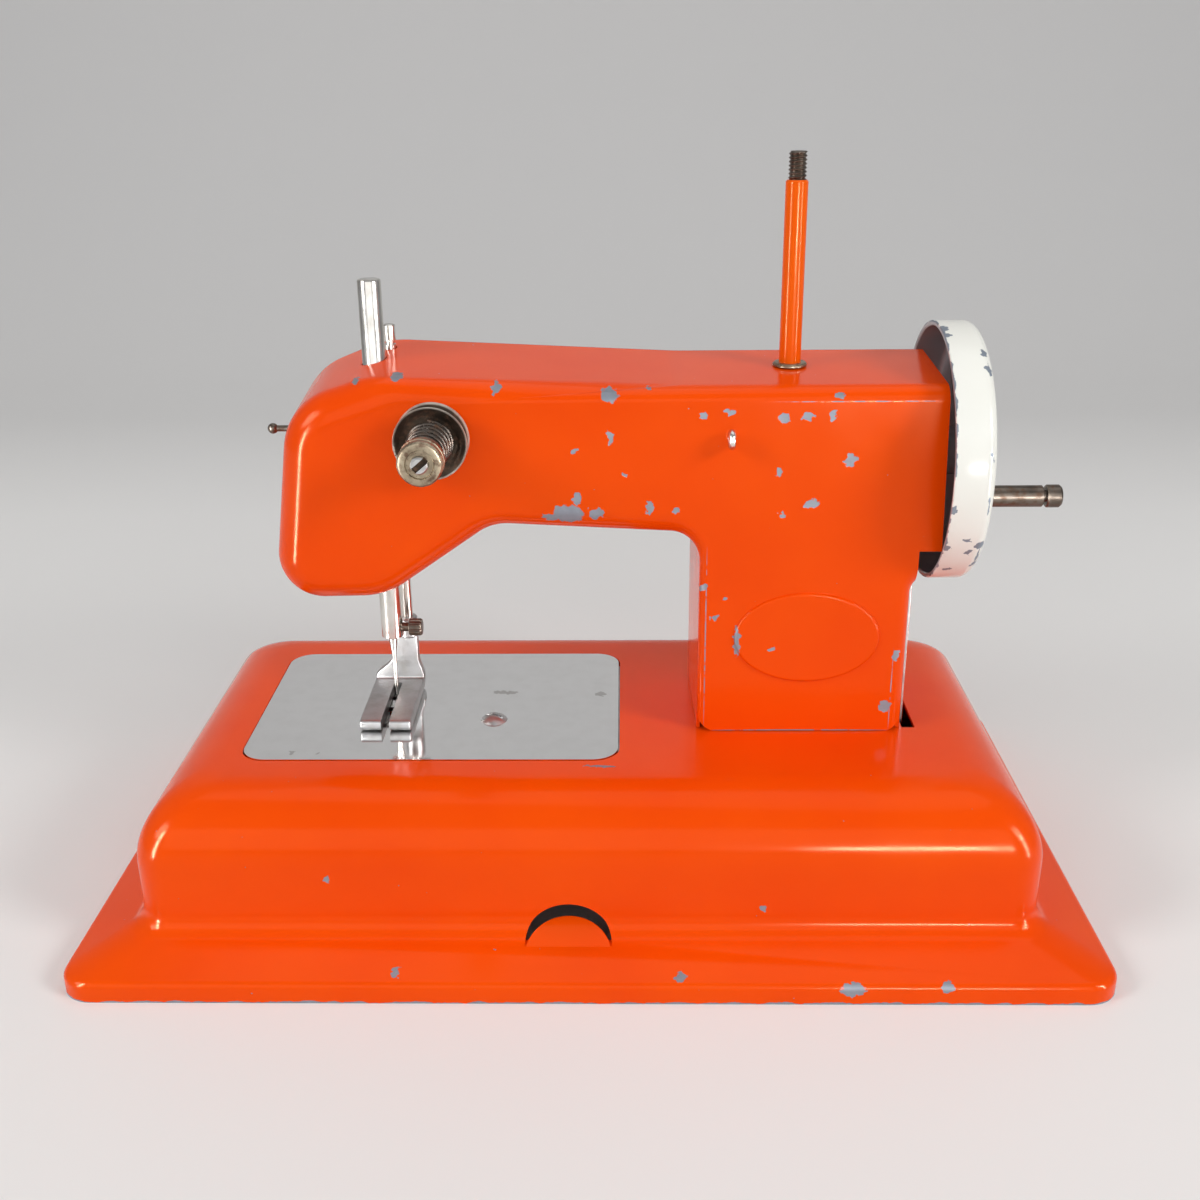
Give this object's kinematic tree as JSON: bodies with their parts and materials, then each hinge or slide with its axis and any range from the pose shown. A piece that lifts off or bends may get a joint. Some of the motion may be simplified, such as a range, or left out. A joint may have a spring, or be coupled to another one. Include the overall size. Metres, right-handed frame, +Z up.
{
  "type": "toy sewing machine",
  "caption": "Hand-cranked toy sewing machine of painted pressed steel with a pan base, hollow arm, handwheel, needle bar, presser foot and thread tension.",
  "frame": {"origin": "on the ground under the middle of the base", "axes": "+X along the base towards the handwheel, +Y to the back, +Z up"},
  "size_m": [0.25, 0.145, 0.1851],
  "materials": {
    "orange_paint": "glossy enamel with small chips",
    "cream_paint": "glossy enamel, chipped at the rim",
    "bright_plate": "polished, lightly scratched",
    "bright_bar": "nickel plated, a little dull",
    "plain_steel": "zinc plated",
    "dark_steel": "bare, browned with age",
    "rusty_nickel": "worn plating with rust",
    "bronze": "plain turned"
  },
  "bodies": {
    "machine": {"base_pan": "orange_paint", "plate_ledges": "plain_steel", "plate_bar": "plain_steel", "needle_plate": "bright_plate", "plate_screw": "plain_steel", "front_casing": "orange_paint", "rear_casing": "orange_paint", "casing_posts": "plain_steel", "casing_screws": "plain_steel", "left_bearing_bracket": "plain_steel", "right_bearing_bracket": "plain_steel", "left_bush": "bronze", "right_bush": "bronze", "head_bracket": "plain_steel", "needle_bar_bushes": "bronze", "presser_bar_bushes": "bronze", "presser_spring": "plain_steel", "spool_pin": "orange_paint", "spool_washer": "plain_steel", "spool_pin_nut": "plain_steel", "thread_eyelet": "bright_bar", "thread_stud": "dark_steel", "tension_stud": "plain_steel", "tension_stud_nut": "plain_steel", "tension_disc_rear": "rusty_nickel", "tension_disc_front": "rusty_nickel", "tension_spring": "dark_steel", "rocker_bracket": "plain_steel", "rocker_pin": "plain_steel", "rock_hangers": "plain_steel", "feed_guide": "plain_steel"},
    "wheel": {"main_shaft": "plain_steel", "handwheel": "cream_paint", "handwheel_nut": "plain_steel", "handle_rivet": "dark_steel", "needle_crank": "plain_steel", "feed_cam": "plain_steel"},
    "handle": {"handle_sleeve": "dark_steel"},
    "needle_bar": {"needle_bar": "bright_bar", "needle_yoke": "plain_steel", "needle": "bright_bar"},
    "clamp_screw": {"needle_clamp_screw": "dark_steel"},
    "presser": {"presser_bar": "bright_bar", "presser_collar": "plain_steel", "presser_foot": "plain_steel"},
    "rocker": {"rocker_lever": "plain_steel"},
    "rock_shaft": {"rock_shaft": "plain_steel", "rock_arm_lever": "plain_steel", "looper": "plain_steel", "feed_arm": "plain_steel"},
    "feed": {"feed_dog": "plain_steel"},
    "tension_seat": {"spring_seat_washer": "rusty_nickel"},
    "tension_nut": {"tension_nut": "rusty_nickel"}
  },
  "joints": [
    {"name": "handwheel_turn", "type": "hinge", "parent": "machine", "child": "wheel", "pos_m": [0, 0.0025, 0.1126], "axis": [1, 0, 0], "continuous": true},
    {"name": "handle_spin", "type": "hinge", "parent": "wheel", "child": "handle", "pos_m": [0.1026, -0.01998, 0.10729], "axis": [1, 0, 0], "continuous": true},
    {"name": "needle_bar_slide", "type": "slide", "parent": "machine", "child": "needle_bar", "axis": [0, 0, 1], "range_m": [-0.009, 0.009]},
    {"name": "needle_clamp_turn", "type": "hinge", "parent": "needle_bar", "child": "clamp_screw", "pos_m": [-0.0465, 0.0025, 0.0644], "axis": [1, 0, 0], "range_deg": [-180, 180]},
    {"name": "presser_bar_slide", "type": "slide", "parent": "machine", "child": "presser", "axis": [0, 0, 1], "range_m": [0, 0.005], "stiffness_N_per_m": 150, "springref_m": -0.005, "deforming": ["presser_spring"]},
    {"name": "rocker_swing", "type": "hinge", "parent": "machine", "child": "rocker", "pos_m": [0.0614, 0.0025, 0.076], "axis": [1, 0, 0], "range_deg": [-3.1, 3.1]},
    {"name": "rock_shaft_swing", "type": "hinge", "parent": "machine", "child": "rock_shaft", "pos_m": [0, 0.0025, 0.022], "axis": [1, 0, 0], "range_deg": [-7.4, 7.4]},
    {"name": "feed_slide", "type": "slide", "parent": "machine", "child": "feed", "axis": [0, 1, 0], "range_m": [-0.0022, 0.0022]},
    {"name": "tension_seat_slide", "type": "slide", "parent": "machine", "child": "tension_seat", "axis": [0, 1, 0], "range_m": [-0.00105, 0.0021], "deforming": ["tension_spring"]},
    {"name": "tension_nut_turn", "type": "hinge", "parent": "tension_seat", "child": "tension_nut", "pos_m": [-0.0367, -0.038, 0.1214], "axis": [0, 1, 0], "range_deg": [-600, 1200]}
  ],
  "couplings": [
    {"joint": "rock_shaft_swing", "follows": "rocker_swing", "ratio": -2.375},
    {"joint": "feed_slide", "follows": "rocker_swing", "m_per_rad": 0.039188},
    {"joint": "tension_nut_turn", "follows": "tension_seat_slide", "rad_per_m": 8976}
  ]
}
